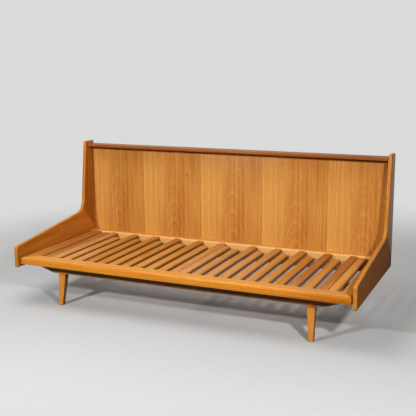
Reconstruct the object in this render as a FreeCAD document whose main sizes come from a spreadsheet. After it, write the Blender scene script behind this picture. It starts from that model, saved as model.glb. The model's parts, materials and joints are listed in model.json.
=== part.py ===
"""Sofa bed: a fixed frame with a tall back, and a slatted seat that pulls out like a comb.

X runs along the seat, Y from the front to the back, Z up. The origin is on the floor, below the middle.
"""

import FreeCAD
import Part
import Sketcher
import math
import os
import re

# Driving sizes, in millimetres
SIZES = {
    # Whole object
    "overall_width": 1954,
    "overall_depth": 830,
    "overall_height": 859,
    # Side panels, each an arm and an upright mitred at the elbow
    "panel_thickness": 22,
    "panel_bottom": 218,
    "arm_front_height": 121,
    "arm_rise": 83,
    "upright_foot_depth": 139,
    "upright_top_depth": 85,
    "elbow_radius": 76,
    "arm_nose_radius": 15,
    "arm_toe_radius": 8,
    "upright_head_radius": 12,
    "panel_edge_radius": 6,
    # Back panel and the ledge above it
    "back_thickness": 10,
    "back_rebate": 8,
    "back_top_rebate": 7,
    "ledge_depth": 68,
    "ledge_thickness": 18,
    "ledge_drop": 19,
    "ledge_edge_radius": 3,
    # Rails
    "rail_lift": 19,
    "rail_height": 38,
    "rail_end_gap": 10,
    "rail_edge_radius": 12,
    "front_rail_depth": 80,
    "front_rail_setback": 20,
    "side_rail_width": 68,
    "side_rail_back_gap": 1,
    "rear_rail_depth": 47,
    # Slats of the two combs
    "slat_width": 50,
    "slat_thickness": 22,
    "slat_drop": 3,
    "slat_edge_radius": 11,
    "slat_lower_radius": 3,
    "slat_pair_gap": 0.5,
    "end_slat_gap": 21.25,
    "fixed_slat_front_gap": 1.5,
    "short_slat_cut": 103,
    "middle_guide_cut": 53,
    "end_guide_cut": 13,
    "tongue_length": 15,
    "tongue_thickness": 6,
    "tongue_shoulder": 1,
    # Bars under the slats
    "bar_thickness": 24,
    "bar_relief": 1,
    "pull_out_bar_width": 35,
    "pull_out_bar_tail": 5,
    "pull_out_bar_lap": 34,
    "fixed_bar_width": 32,
    "fixed_bar_leg_gap": 5,
    # Runners on the panels, in grooves of the side rails
    "groove_height": 12,
    "groove_depth": 9,
    "groove_stop": 5,
    "runner_gap": 0.3,
    "runner_tip_gap": 0.6,
    "runner_end_gap": 4,
    # Legs and the rails that carry them: the front one stands behind the front rail, below the slats
    "leg_inset": 227,
    "leg_top_width": 45,
    "leg_outer_taper": 4,
    "leg_foot_width": 25,
    "leg_foot_depth": 25,
    "leg_rake": 16,
    "leg_edge_radius": 3,
    "leg_rail_drop": 55.5,
    "leg_rail_thickness": 36,
    "leg_rail_overhang": 122,
    "leg_rail_tip_length": 88,
    "leg_rail_tip_rise": 28.5,
    "front_leg_rail_gap": 0.5,
    "rear_leg_tuck": 15,
    # Fasteners
    "dowel_diameter": 8,
    "dowel_length": 40,
    "dowel_panel_depth": 14,
    "screw_diameter": 4,
    "screw_head_diameter": 8,
    "screw_head_height": 3,
    "screw_bite": 12,
    "leg_rail_screw_grip": 20,
    "fit_clearance": 0.1,
    "hole_end_gap": 0.8,
    "overrun": 5,
}

# Places worked out from the driving sizes
PLACES = {
    "front_y": "-overall_depth / 2",
    "rear_y": "overall_depth / 2",
    "panel_outer_x": "overall_width / 2",
    "panel_inner_x": "overall_width / 2 - panel_thickness",
    "panel_height": "overall_height - panel_bottom",
    # The elbow, in the panel's own plane from its front lower corner
    "elbow_depth": "overall_depth - upright_foot_depth",
    "elbow_height": "arm_front_height + arm_rise",
    "arm_length": "sqrt(elbow_depth ^ 2 + arm_rise ^ 2)",
    "upright_run": "upright_foot_depth - upright_top_depth",
    "upright_rise": "panel_height - elbow_height",
    "upright_length": "sqrt(upright_run ^ 2 + upright_rise ^ 2)",
    "elbow_cosine": "-(elbow_depth * upright_run + arm_rise * upright_rise) / (arm_length * upright_length)",
    "elbow_tangent": "elbow_radius * sqrt((1 + elbow_cosine) / (1 - elbow_cosine))",
    "elbow_reach": "elbow_radius * (1 / sqrt((1 - elbow_cosine) / 2) - 1)",
    "arm_curve_y": "elbow_depth - elbow_tangent * elbow_depth / arm_length",
    "arm_curve_z": "elbow_height - elbow_tangent * arm_rise / arm_length",
    "upright_curve_y": "elbow_depth + elbow_tangent * upright_run / upright_length",
    "upright_curve_z": "elbow_height + elbow_tangent * upright_rise / upright_length",
    "mitre_across": "(elbow_depth / arm_length - upright_run / upright_length) / sqrt(2 + 2 * elbow_cosine)",
    "mitre_down": "(upright_rise / upright_length - arm_rise / arm_length) / sqrt(2 + 2 * elbow_cosine)",
    "mitre_top_y": "elbow_depth - elbow_reach * mitre_across",
    "mitre_top_z": "elbow_height + elbow_reach * mitre_down",
    "mitre_foot_z": "elbow_height - upright_foot_depth * mitre_down / mitre_across",
    "upright_top_front": "overall_depth - upright_top_depth",
    # Rails
    "rail_underside": "panel_bottom + rail_lift",
    "rail_top": "rail_underside + rail_height",
    "rail_middle": "rail_underside + rail_height / 2",
    "rail_outer_x": "panel_inner_x - rail_end_gap",
    "side_rail_inner_x": "rail_outer_x - side_rail_width",
    "front_rail_length": "2 * rail_outer_x",
    "front_rail_inner_end": "front_rail_length - side_rail_width",
    "front_rail_front": "front_y + front_rail_setback",
    "front_rail_back": "front_rail_front + front_rail_depth",
    "rear_rail_back": "rear_y - back_thickness",
    "rear_rail_front": "rear_rail_back - rear_rail_depth",
    "side_rail_length": "rear_rail_front - side_rail_back_gap - front_rail_front",
    "panel_span": "2 * panel_inner_x",
    "corner_length": "sqrt(front_rail_depth ^ 2 + side_rail_width ^ 2)",
    # Slats
    "slat_underside": "rail_top - slat_drop - slat_thickness",
    "first_slat_x": "(slat_width + slat_pair_gap) / 2",
    "end_slat_x": "side_rail_inner_x - end_slat_gap - slat_width / 2",
    "last_slat_x": "end_slat_x - slat_width - slat_pair_gap",
    "tongue_high": "slat_thickness - slat_edge_radius - tongue_shoulder",
    "tongue_low": "tongue_high - tongue_thickness",
    "fixed_slat_front": "front_rail_back + fixed_slat_front_gap",
    "fixed_slat_length": "rear_rail_front - fixed_slat_front",
    "fixed_slat_reach": "fixed_slat_length + tongue_length",
    "short_slat_reach": "rear_rail_front - short_slat_cut - front_rail_back + tongue_length",
    "middle_guide_reach": "short_slat_reach + short_slat_cut - middle_guide_cut",
    "end_guide_reach": "short_slat_reach + short_slat_cut - end_guide_cut",
    # Bars and runners
    "bar_underside": "slat_underside - bar_thickness",
    "bar_body": "bar_thickness - bar_relief",
    "pull_out_bar_back": "rear_rail_front - short_slat_cut + pull_out_bar_tail",
    "pull_out_bar_front": "pull_out_bar_back - pull_out_bar_width",
    "pull_out_bar_half": "side_rail_inner_x + pull_out_bar_lap",
    "fixed_bar_front": "front_rail_back + leg_rail_thickness + fixed_bar_leg_gap",
    "fixed_bar_half": "last_slat_x + slat_width / 2",
    "groove_inner_x": "rail_outer_x - groove_depth",
    "groove_front": "front_rail_back + groove_stop",
    "runner_inner_x": "groove_inner_x + runner_tip_gap",
    "runner_width": "panel_inner_x - runner_inner_x",
    "runner_front": "groove_front + runner_end_gap",
    "runner_length": "rear_rail_front - runner_end_gap - runner_front",
    "runner_height": "groove_height - 2 * runner_gap",
    # Back and ledge
    "ledge_underside": "overall_height - ledge_drop - ledge_thickness",
    "ledge_front": "rear_y - ledge_depth",
    "back_half": "panel_inner_x + back_rebate",
    "back_height": "ledge_underside + back_top_rebate - rail_underside",
    # Legs
    "leg_outer_x": "panel_outer_x - leg_inset",
    "leg_middle_x": "leg_outer_x - leg_top_width / 2",
    "leg_shoulder": "rail_underside - leg_rail_drop",
    "left_foot_inner": "leg_outer_taper + leg_foot_width",
    "right_foot_inner": "leg_top_width - left_foot_inner",
    "right_foot_outer": "leg_top_width - leg_outer_taper",
    "leg_lap": "leg_rail_thickness / 2",
    "leg_reach": "leg_rake + leg_rail_thickness",
    "leg_foot_back": "leg_reach - leg_foot_depth",
    "leg_lap_front": "leg_rake + leg_lap",
    "front_leg_rail_height": "slat_underside - front_leg_rail_gap - leg_shoulder",
    "rear_leg_rail_front": "rear_rail_back - rear_leg_tuck - leg_rail_thickness",
    "leg_rail_length": "2 * (leg_outer_x + leg_rail_overhang)",
    "leg_rail_flat_end": "leg_rail_length - leg_rail_tip_length",
    "leg_pin_z": "leg_shoulder + leg_rail_drop / 2",
}

# Slats of one half of the seat, counted outwards: even ones are fixed, odd ones pull out
SLAT_STEPS = 10
SCREWED_SLAT_STEPS = (3, 7)

# Fastener places, as shares of the piece that carries them
MITRE_DOWEL_SHARES = (0.3, 0.55, 0.8)
LEDGE_DOWEL_SHARES = (0.3, 0.7)
RAIL_DOWEL_SHARES = (0.35, 0.75)
CORNER_DOWEL_SHARES = (0.3, 0.7)
BACK_SIDE_SCREW_SHARES = (0.2, 0.45, 0.7, 0.92)
BACK_FOOT_SCREW_SHARES = (-0.9, -0.6, -0.3, 0, 0.3, 0.6, 0.9)
RUNNER_SCREW_SHARES = (0.06, 0.35, 0.65, 0.94)
LEG_RAIL_SCREW_SHARES = (-0.75, -0.25, 0.25, 0.75)
FRONT_RAIL_SCREW_SHARES = (-0.9, -0.6, -0.3, 0, 0.3, 0.6, 0.9)
BAR_END_SCREW_SHARES = (0.3, 0.7)
NEAR_SHARE = 1e-6

TURNS = {
    "+x": FreeCAD.Rotation(FreeCAD.Vector(0, 0, 1), FreeCAD.Vector(1, 0, 0)),
    "-x": FreeCAD.Rotation(FreeCAD.Vector(0, 0, 1), FreeCAD.Vector(-1, 0, 0)),
    "+y": FreeCAD.Rotation(FreeCAD.Vector(0, 0, 1), FreeCAD.Vector(0, 1, 0)),
    "-y": FreeCAD.Rotation(FreeCAD.Vector(0, 0, 1), FreeCAD.Vector(0, -1, 0)),
    "+z": FreeCAD.Rotation(),
    "-z": FreeCAD.Rotation(FreeCAD.Vector(0, 0, 1), FreeCAD.Vector(0, 0, -1)),
}
OPPOSITE = {"+": "-", "-": "+"}
SIDES = {"left": -1, "right": 1}

doc = FreeCAD.newDocument("SofaBed")
nodes = {}


def named(text):
    """Write a sum of size names as an expression of the document."""

    def sheet_cell(word):
        return ("Sizes." if word.group() in SIZES else "Places.") + word.group()

    return re.sub(r"\b[a-z]\w*\b(?!\()", sheet_cell, text)


def fill_sheet(label, contents):
    """Make a spreadsheet of named cells."""
    sheet = doc.addObject("Spreadsheet::Sheet", label)
    for row, (name, content) in enumerate(contents.items(), 1):
        sheet.set(f"A{row}", name)
        sheet.set(f"B{row}", content)
        sheet.setAlias(f"B{row}", name)
    doc.recompute()
    return sheet


sizes = fill_sheet("Sizes", {name: str(value) for name, value in SIZES.items()})
places = fill_sheet("Places", {name: "=" + named(formula) for name, formula in PLACES.items()})


def number(name):
    """The value of one named size or place."""
    if name == "0":
        return 0.0
    return float(getattr(sizes if name in SIZES else places, name))


def near(value, name):
    """True where a measured value is at a named place."""
    return abs(value - number(name)) < NEAR_SHARE * number("overall_width")


def bind(piece, property_name, text):
    """Tie a property to a sum of size names."""
    piece.setExpression(property_name, named(text))


def move(piece, place):
    """Tie a piece's place to three sums of size names."""
    for letter, text in zip("xyz", place):
        bind(piece, "Placement.Base." + letter, text)


def keep(node, piece):
    """Take a piece into the part under its node's name."""
    piece.Label = node
    nodes[node] = piece


# Outlines, boards and other shapes


def origin_plane(body, role):
    """One of a body's own origin planes."""
    return [feature for feature in body.Origin.OriginFeatures if feature.Role == role][0]


def hollow_arc(start, end, radius):
    """An arc between two corners that is hollow on an outline drawn anticlockwise."""
    chord = end - start
    across = FreeCAD.Vector(chord.y, -chord.x, 0).normalize()
    reach = math.sqrt(radius ** 2 - (chord.Length / 2) ** 2)
    centre = start + chord / 2 + across * reach
    angles = [math.atan2(corner.y - centre.y, corner.x - centre.x) for corner in (end, start)]
    return Part.ArcOfCircle(Part.Circle(centre, FreeCAD.Vector(0, 0, 1), radius), *angles)


def outline(body, name, role, corners):
    """Draw a closed sketch through named corners; a third name is the radius of a hollow side."""
    sketch = body.newObject("Sketcher::SketchObject", name)
    sketch.AttachmentSupport = [(origin_plane(body, role), "")]
    sketch.MapMode = "FlatFace"
    points = [FreeCAD.Vector(number(corner[0]), number(corner[1]), 0) for corner in corners]
    ends = []
    for side, corner in enumerate(corners):
        if len(corner) == 3:
            sketch.addGeometry(hollow_arc(points[side - 1], points[side], number(corner[2])))
            ends.append((2, 1))
        else:
            sketch.addGeometry(Part.LineSegment(points[side - 1], points[side]))
            ends.append((1, 2))
    for side, corner in enumerate(corners):
        last = side - 1 if side else len(corners) - 1
        sketch.addConstraint(Sketcher.Constraint("Coincident", last, ends[last][1], side, ends[side][0]))
        for kind, axis, place in (("DistanceX", -2, corner[0]), ("DistanceY", -1, corner[1])):
            if place == "0":
                sketch.addConstraint(Sketcher.Constraint("PointOnObject", side, ends[side][1], axis))
                continue
            distance = Sketcher.Constraint(kind, -1, 1, side, ends[side][1], number(place))
            bind(sketch, f"Constraints[{sketch.addConstraint(distance)}]", place)
        if len(corner) == 3:
            radius = Sketcher.Constraint("Radius", side, number(corner[2]))
            bind(sketch, f"Constraints[{sketch.addConstraint(radius)}]", corner[2])
    return sketch


def board(name, role, corners, thickness, place):
    """A body padded from an outline on one of its origin planes."""
    body = doc.addObject("PartDesign::Body", name)
    pad = body.newObject("PartDesign::Pad", name + "_pad")
    pad.Profile = outline(body, name + "_outline", role, corners)
    pad.Reversed = role == "XZ_Plane"
    bind(pad, "Length", thickness)
    move(body, place)
    doc.recompute()
    return body


def plank(name, size, place):
    """A rectangular body of length, width and height."""
    corners = [("0", "0"), (size[0], "0"), (size[0], size[1]), ("0", size[1])]
    return board(name, "XY_Plane", corners, size[2], place)


def round_edges(body, radius, wanted):
    """Round the edges of a body that a test of their middle picks."""
    tip = body.Tip
    picked = [f"Edge{index}" for index, edge in enumerate(tip.Shape.Edges, 1) if wanted(edge.CenterOfMass)]
    fillet = body.newObject("PartDesign::Fillet", body.Name + "_round")
    fillet.Base = (tip, picked)
    bind(fillet, "Radius", radius)
    doc.recompute()


def box(name, size, place):
    """A box of three sums of size names, from its lowest corner."""
    piece = doc.addObject("Part::Box", name)
    for side, text in zip(("Length", "Width", "Height"), size):
        bind(piece, side, text)
    move(piece, place)
    return piece


def rod(name, diameter, length, place, turn):
    """A cylinder that starts at a place and points along a turn."""
    piece = doc.addObject("Part::Cylinder", name)
    bind(piece, "Radius", f"({diameter}) / 2")
    bind(piece, "Height", length)
    piece.Placement = FreeCAD.Placement(FreeCAD.Vector(), turn)
    move(piece, place)
    return piece


def group(name, pieces):
    """Several shapes as one."""
    compound = doc.addObject("Part::Compound", name)
    compound.Links = pieces
    return compound


def join(name, first, second):
    """Two shapes fused into one."""
    fusion = doc.addObject("Part::Fuse", name)
    fusion.Base = first
    fusion.Tool = second
    return fusion


def cut(node, base, tools):
    """Cut holes, mortises and recesses from a piece and take it into the part."""
    piece = doc.addObject("Part::Cut", node)
    piece.Base = base
    piece.Tool = group(node + "_cuts", tools)
    keep(node, piece)
    return piece


# Fasteners and the holes that they need


def rods(node, starts, turns, diameter, length, hole_start_gap):
    """Dowels or pins from their start points, and their holes, which are longer at the named gaps."""
    pins = []
    holes = []
    for index, (start, turn) in enumerate(zip(starts, turns)):
        point = turn.multVec(FreeCAD.Vector(0, 0, 1))
        back = [f"{text} - ({share}) * {hole_start_gap}" for text, share in zip(start, point)]
        pins.append(rod(f"{node}_{index}", diameter, length, start, turn))
        deep = f"{length} + hole_end_gap + {hole_start_gap}"
        holes.append(rod(f"{node}_hole_{index}", f"{diameter} + 2 * fit_clearance", deep, back, turn))
    keep(node, group(node, pins))
    return group(node + "_holes", holes)


def screws(node, seats, grips, ways):
    """Screws from the seats under their heads, and their holes with room for the heads."""
    fasteners = []
    holes = []
    for index, (seat, grip, way) in enumerate(zip(seats, grips, ways)):
        ahead = TURNS[way]
        behind = TURNS[OPPOSITE[way[0]] + way[1]]
        name = f"{node}_{index}"
        long = f"{grip} + screw_bite"
        shank = rod(name + "_shank", "screw_diameter", long, seat, ahead)
        head = rod(name + "_head", "screw_head_diameter", "screw_head_height", seat, behind)
        fasteners.append(join(name, shank, head))
        wide = "screw_diameter + 2 * fit_clearance"
        bore = rod(name + "_bore", wide, long + " + hole_end_gap", seat, ahead)
        wide = "screw_head_diameter + 2 * fit_clearance"
        sink = rod(name + "_sink", wide, "leg_rail_drop", seat, behind)
        holes.append(join(name + "_hole", bore, sink))
    keep(node, group(node, fasteners))
    return group(node + "_holes", holes)


def slat_x(step, side):
    """The middle of a slat, counted outwards from the pair in the middle."""
    return f"{side} * (first_slat_x + {step} / {SLAT_STEPS} * (last_slat_x - first_slat_x))"


# Which slat goes where: the fixed comb, and the pull-out comb with its guide slats
fixed_slats = sorted((side * step or -1, slat_x(step, side)) for step in (2, 4, 6, 8, 10) for side in (-1, 1))
fixed_slats = [place for order, place in fixed_slats]
fixed_slats.insert(len(fixed_slats) // 2, slat_x(0, -1))
short_slats = [slat_x(step, -1) for step in (9, 7, 5, 3, 1)] + [slat_x(step, 1) for step in (1, 3, 5, 7, 9)]
pull_out_slats = [(place, "short_slat_reach") for place in short_slats]
pull_out_slats.insert(len(short_slats) // 2, (slat_x(0, 1), "middle_guide_reach"))
pull_out_slats.insert(0, ("-end_slat_x", "end_guide_reach"))
pull_out_slats.append(("end_slat_x", "end_guide_reach"))


# Holes and recesses shared by the pieces that meet there

mitre_starts = []
for side in SIDES.values():
    for share in MITRE_DOWEL_SHARES:
        along = f"{share} * (overall_depth - mitre_top_y)"
        mitre_starts.append((
            f"{side} * (panel_outer_x - panel_thickness / 2)",
            f"front_y + mitre_top_y + {along} - mitre_down * dowel_length / 2",
            f"panel_bottom + mitre_top_z - {along} * mitre_down / mitre_across"
            " - mitre_across * dowel_length / 2",
        ))
mitre_normal = FreeCAD.Vector(0, number("mitre_down"), number("mitre_across"))
mitre_turn = FreeCAD.Rotation(FreeCAD.Vector(0, 0, 1), mitre_normal)
mitre_holes = rods(
    "mitre_dowels", mitre_starts, [mitre_turn] * len(mitre_starts),
    "dowel_diameter", "dowel_length", "hole_end_gap",
)

panel_dowel_x = "panel_inner_x + dowel_panel_depth - dowel_length"
ledge_starts = []
rail_starts = []
panel_turns = []
for side, way in ((-1, "-x"), (1, "+x")):
    for ledge_share, rail_share in zip(LEDGE_DOWEL_SHARES, RAIL_DOWEL_SHARES):
        start_x = f"{side} * ({panel_dowel_x})"
        ledge_starts.append((
            start_x, f"ledge_front + {ledge_share} * ledge_depth", "ledge_underside + ledge_thickness / 2",
        ))
        rail_starts.append((start_x, f"rear_rail_front + {rail_share} * rear_rail_depth", "rail_middle"))
        panel_turns.append(TURNS[way])
ledge_holes = rods(
    "ledge_dowels", ledge_starts, panel_turns, "dowel_diameter", "dowel_length", "hole_end_gap",
)
rail_holes = rods(
    "rear_rail_dowels", rail_starts, panel_turns, "dowel_diameter", "dowel_length", "hole_end_gap",
)

corner_starts = []
corner_turns = []
for side in SIDES.values():
    for share in CORNER_DOWEL_SHARES:
        corner_starts.append((
            f"{side} * (rail_outer_x - side_rail_width / 2"
            " - front_rail_depth / corner_length * dowel_length / 2)",
            "front_rail_front + front_rail_depth / 2 - side_rail_width / corner_length * dowel_length / 2",
            f"rail_underside + {share} * rail_height",
        ))
        corner_normal = FreeCAD.Vector(side * number("front_rail_depth"), number("side_rail_width"), 0)
        corner_turns.append(FreeCAD.Rotation(FreeCAD.Vector(0, 0, 1), corner_normal))
corner_holes = rods(
    "corner_dowels", corner_starts, corner_turns, "dowel_diameter", "dowel_length", "hole_end_gap",
)

pin_holes = {}
for end, start in (("front", "front_rail_back"), ("rear", "rear_leg_rail_front")):
    pin_starts = [(f"{side} * leg_middle_x", start, "leg_pin_z") for side in SIDES.values()]
    pin_holes[end] = rods(
        end + "_leg_pins", pin_starts, [TURNS["+y"]] * len(pin_starts),
        "dowel_diameter", "leg_rail_thickness", "overrun",
    )

back_seats = []
for side in SIDES.values():
    for share in BACK_SIDE_SCREW_SHARES:
        back_seats.append((
            f"{side} * (panel_inner_x + back_rebate / 2)", "rear_y - screw_head_height",
            f"rail_underside + {share} * back_height",
        ))
for share in BACK_FOOT_SCREW_SHARES:
    back_seats.append((f"{share} * panel_inner_x", "rear_y - screw_head_height", "rail_middle"))
back_holes = screws(
    "back_screws", back_seats,
    ["back_thickness - screw_head_height"] * len(back_seats), ["-y"] * len(back_seats),
)

runner_seats = []
runner_ways = []
for side, way in ((-1, "-x"), (1, "+x")):
    for share in RUNNER_SCREW_SHARES:
        runner_seats.append((
            f"{side} * (runner_inner_x + screw_head_height)",
            f"runner_front + {share} * runner_length", "rail_middle",
        ))
        runner_ways.append(way)
runner_holes = screws(
    "runner_screws", runner_seats, ["runner_width - screw_head_height"] * len(runner_seats), runner_ways,
)

rear_leg_rail_seats = [
    (
        f"{share} * leg_outer_x", "rear_leg_rail_front + leg_rail_thickness / 2",
        "rail_underside - leg_rail_screw_grip",
    )
    for share in LEG_RAIL_SCREW_SHARES
]
rear_leg_rail_holes = screws(
    "rear_leg_rail_screws", rear_leg_rail_seats,
    ["leg_rail_screw_grip"] * len(rear_leg_rail_seats), ["+z"] * len(rear_leg_rail_seats),
)

# The front leg rail is screwed up into four short slats, and from behind to the front rail
front_leg_rail_seats = [
    (
        slat_x(step, side), "front_rail_back + leg_rail_thickness / 2",
        "slat_underside - front_leg_rail_gap - leg_rail_screw_grip",
    )
    for step in SCREWED_SLAT_STEPS for side in SIDES.values()
]
front_leg_rail_grips = ["leg_rail_screw_grip"] * len(front_leg_rail_seats)
front_leg_rail_ways = ["+z"] * len(front_leg_rail_seats)
for share in FRONT_RAIL_SCREW_SHARES:
    front_leg_rail_seats.append((
        f"{share} * leg_outer_x", "front_rail_back + leg_rail_thickness",
        "(rail_underside + slat_underside - front_leg_rail_gap) / 2",
    ))
    front_leg_rail_grips.append("leg_rail_thickness")
    front_leg_rail_ways.append("-y")
front_leg_rail_holes = screws(
    "front_leg_rail_screws", front_leg_rail_seats, front_leg_rail_grips, front_leg_rail_ways,
)

fixed_bar_seats = [(place, "fixed_bar_front + fixed_bar_width / 2", "bar_underside") for place in fixed_slats]
fixed_bar_holes = screws(
    "fixed_bar_screws", fixed_bar_seats,
    ["bar_thickness"] * len(fixed_bar_seats), ["+z"] * len(fixed_bar_seats),
)

pull_out_seats = [
    (place, "pull_out_bar_front + pull_out_bar_width / 2", "bar_underside") for place, reach in pull_out_slats
]
pull_out_grips = ["bar_thickness"] * len(pull_out_seats)
for side in SIDES.values():
    for share in BAR_END_SCREW_SHARES:
        pull_out_seats.append((
            f"{side} * (side_rail_inner_x + pull_out_bar_lap / 2)",
            f"pull_out_bar_front + {share} * pull_out_bar_width", "bar_underside",
        ))
        pull_out_grips.append("rail_underside - bar_underside")
pull_out_holes = screws("pull_out_bar_screws", pull_out_seats, pull_out_grips, ["+z"] * len(pull_out_seats))

back_recess = box(
    "back_recess",
    ("2 * (back_half + fit_clearance)", "back_thickness + overrun", "back_height + 2 * fit_clearance"),
    ("-back_half - fit_clearance", "rear_rail_back", "rail_underside - fit_clearance"),
)


# Side panels

ARM_CORNERS = [
    ("0", "0"), ("overall_depth", "0"), ("overall_depth", "mitre_foot_z"), ("mitre_top_y", "mitre_top_z"),
    ("arm_curve_y", "arm_curve_z", "elbow_radius"), ("0", "arm_front_height"),
]
UPRIGHT_CORNERS = [
    ("overall_depth", "mitre_foot_z"), ("overall_depth", "panel_height"),
    ("upright_top_front", "panel_height"), ("upright_curve_y", "upright_curve_z"),
    ("mitre_top_y", "mitre_top_z", "elbow_radius"),
]


def on_show(middle):
    """True of an edge around a broad face of a panel board, but for its mitre and its back."""
    on_face = near(middle.x, "0") or near(middle.x, "panel_thickness")
    mitre_y = (number("mitre_top_y") + number("overall_depth")) / 2
    on_mitre = abs(middle.y - mitre_y) < NEAR_SHARE * number("overall_width")
    return on_face and not on_mitre and not near(middle.y, "overall_depth")


for name, side in SIDES.items():
    outer = "-panel_outer_x" if side < 0 else "panel_inner_x"
    corner = (outer, "front_y", "panel_bottom")
    arm = board(f"{name}_arm_board", "YZ_Plane", ARM_CORNERS, "panel_thickness", corner)
    round_edges(
        arm, "arm_nose_radius",
        lambda middle: near(middle.y, "0") and near(middle.z, "arm_front_height"),
    )
    round_edges(arm, "arm_toe_radius", lambda middle: near(middle.y, "0") and near(middle.z, "0"))
    round_edges(arm, "panel_edge_radius", on_show)
    cut(f"{name}_arm", arm, [mitre_holes, rail_holes, runner_holes, back_recess])
    upright = board(f"{name}_upright_board", "YZ_Plane", UPRIGHT_CORNERS, "panel_thickness", corner)
    round_edges(
        upright, "upright_head_radius",
        lambda middle: near(middle.y, "upright_top_front") and near(middle.z, "panel_height"),
    )
    round_edges(upright, "panel_edge_radius", on_show)
    cut(f"{name}_upright", upright, [mitre_holes, ledge_holes, back_recess, back_holes])


# Back panel and ledge

back = box(
    "back_board", ("2 * back_half", "back_thickness", "back_height"),
    ("-back_half", "rear_rail_back", "rail_underside"),
)
cut("back_panel", back, [back_holes])

ledge = plank(
    "ledge_board", ("panel_span", "ledge_depth", "ledge_thickness"),
    ("-panel_inner_x", "ledge_front", "ledge_underside"),
)
round_edges(
    ledge, "ledge_edge_radius",
    lambda middle: near(middle.y, "0") and near(middle.x, "panel_inner_x"),
)
cut("top_ledge", ledge, [ledge_holes, back_recess])


# Rails

rear_rail = plank(
    "rear_rail_board", ("panel_span", "rear_rail_depth", "rail_height"),
    ("-panel_inner_x", "rear_rail_front", "rail_underside"),
)
round_edges(
    rear_rail, "rail_edge_radius",
    lambda middle: near(middle.y, "0") and near(middle.z, "rail_height"),
)


def mortise(name, middle, start):
    """The hole for a slat's tongue, as wide as the slat."""
    return box(
        name,
        (
            "slat_width + 2 * fit_clearance", "tongue_length + fit_clearance",
            "tongue_thickness + 2 * fit_clearance",
        ),
        (
            f"{middle} - slat_width / 2 - fit_clearance", start,
            "slat_underside + tongue_low - fit_clearance",
        ),
    )


rear_mortises = [mortise("rear_mortise", place, "rear_rail_front") for place in fixed_slats]
cut("rear_rail", rear_rail, rear_mortises + [rail_holes, back_holes, rear_leg_rail_holes])

front_rail = board(
    "front_rail_board", "XY_Plane",
    [
        ("0", "0"), ("front_rail_length", "0"),
        ("front_rail_inner_end", "front_rail_depth"), ("side_rail_width", "front_rail_depth"),
    ],
    "rail_height", ("-rail_outer_x", "front_rail_front", "rail_underside"),
)
round_edges(
    front_rail, "rail_edge_radius",
    lambda middle: near(middle.z, "rail_height") and near(middle.x, "rail_outer_x"),
)
front_mortises = [
    mortise("front_mortise", place, "front_rail_back - tongue_length - fit_clearance")
    for place, reach in pull_out_slats
]
cut("front_rail", front_rail, front_mortises + [corner_holes, front_leg_rail_holes])

SIDE_RAIL_CORNERS = {
    "left": [
        ("0", "0"), ("side_rail_width", "front_rail_depth"),
        ("side_rail_width", "side_rail_length"), ("0", "side_rail_length"),
    ],
    "right": [
        ("side_rail_width", "0"), ("side_rail_width", "side_rail_length"),
        ("0", "side_rail_length"), ("0", "front_rail_depth"),
    ],
}
for name, side in SIDES.items():
    inner = "-rail_outer_x" if side < 0 else "side_rail_inner_x"
    rail = board(
        f"{name}_side_rail_board", "XY_Plane", SIDE_RAIL_CORNERS[name],
        "rail_height", (inner, "front_rail_front", "rail_underside"),
    )
    round_edges(
        rail, "rail_edge_radius",
        lambda middle: near(middle.z, "rail_height")
        and (near(middle.x, "0") or near(middle.x, "side_rail_width")),
    )
    groove = box(
        f"{name}_groove",
        ("groove_depth + overrun", "rear_rail_front - groove_front", "groove_height"),
        (
            "-rail_outer_x - overrun" if side < 0 else "groove_inner_x", "groove_front",
            "rail_middle - groove_height / 2",
        ),
    )
    cut(f"{name}_side_rail", rail, [groove, corner_holes, pull_out_holes])
    runner = box(
        f"{name}_runner_strip", ("runner_width", "runner_length", "runner_height"),
        (
            "-panel_inner_x" if side < 0 else "runner_inner_x", "runner_front",
            "rail_middle - runner_height / 2",
        ),
    )
    cut(f"{name}_runner", runner, [runner_holes])


# Slats: both combs are one section, with a tongue at the end that its rail holds

FIXED_SLAT_CORNERS = [
    ("0", "0"), ("fixed_slat_length", "0"), ("fixed_slat_length", "tongue_low"),
    ("fixed_slat_reach", "tongue_low"), ("fixed_slat_reach", "tongue_high"),
    ("fixed_slat_length", "tongue_high"), ("fixed_slat_length", "slat_thickness"), ("0", "slat_thickness"),
]


def pull_out_corners(reach):
    """The side view of a slat of the pull-out comb, from the tip of its tongue."""
    return [
        ("tongue_length", "0"), (reach, "0"), (reach, "slat_thickness"), ("tongue_length", "slat_thickness"),
        ("tongue_length", "tongue_high"), ("0", "tongue_high"), ("0", "tongue_low"),
        ("tongue_length", "tongue_low"),
    ]


def slat(node, corners, middle, start, holes, free_end=None):
    """One slat with holes for its screws. Its long edges are rounded, and so is a free end that shows, on top."""
    place = (f"{middle} - slat_width / 2", start, "slat_underside")
    body = board(node + "_board", "YZ_Plane", corners, "slat_width", place)

    def beside(edge):
        return near(edge.x, "0") or near(edge.x, "slat_width")

    def on_top(edge):
        return near(edge.z, "slat_thickness") and (beside(edge) or free_end and near(edge.y, free_end))

    def below(edge):
        return near(edge.z, "0") and beside(edge)

    round_edges(body, "slat_edge_radius", on_top)
    round_edges(body, "slat_lower_radius", below)
    cut(node, body, holes)


pull_out_slat_holes = [pull_out_holes, front_leg_rail_holes]
for index, place in enumerate(fixed_slats, 1):
    slat(f"fixed_slat_{index:02d}", FIXED_SLAT_CORNERS, place, "fixed_slat_front", [fixed_bar_holes])
for index, (place, reach) in enumerate(pull_out_slats, 1):
    node = f"pull_out_slat_{index:02d}"
    slat(node, pull_out_corners(reach), place, "front_rail_back - tongue_length", pull_out_slat_holes, reach)


# Bars under the slats: each touches its own comb on low lands and runs clear under the other comb


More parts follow.
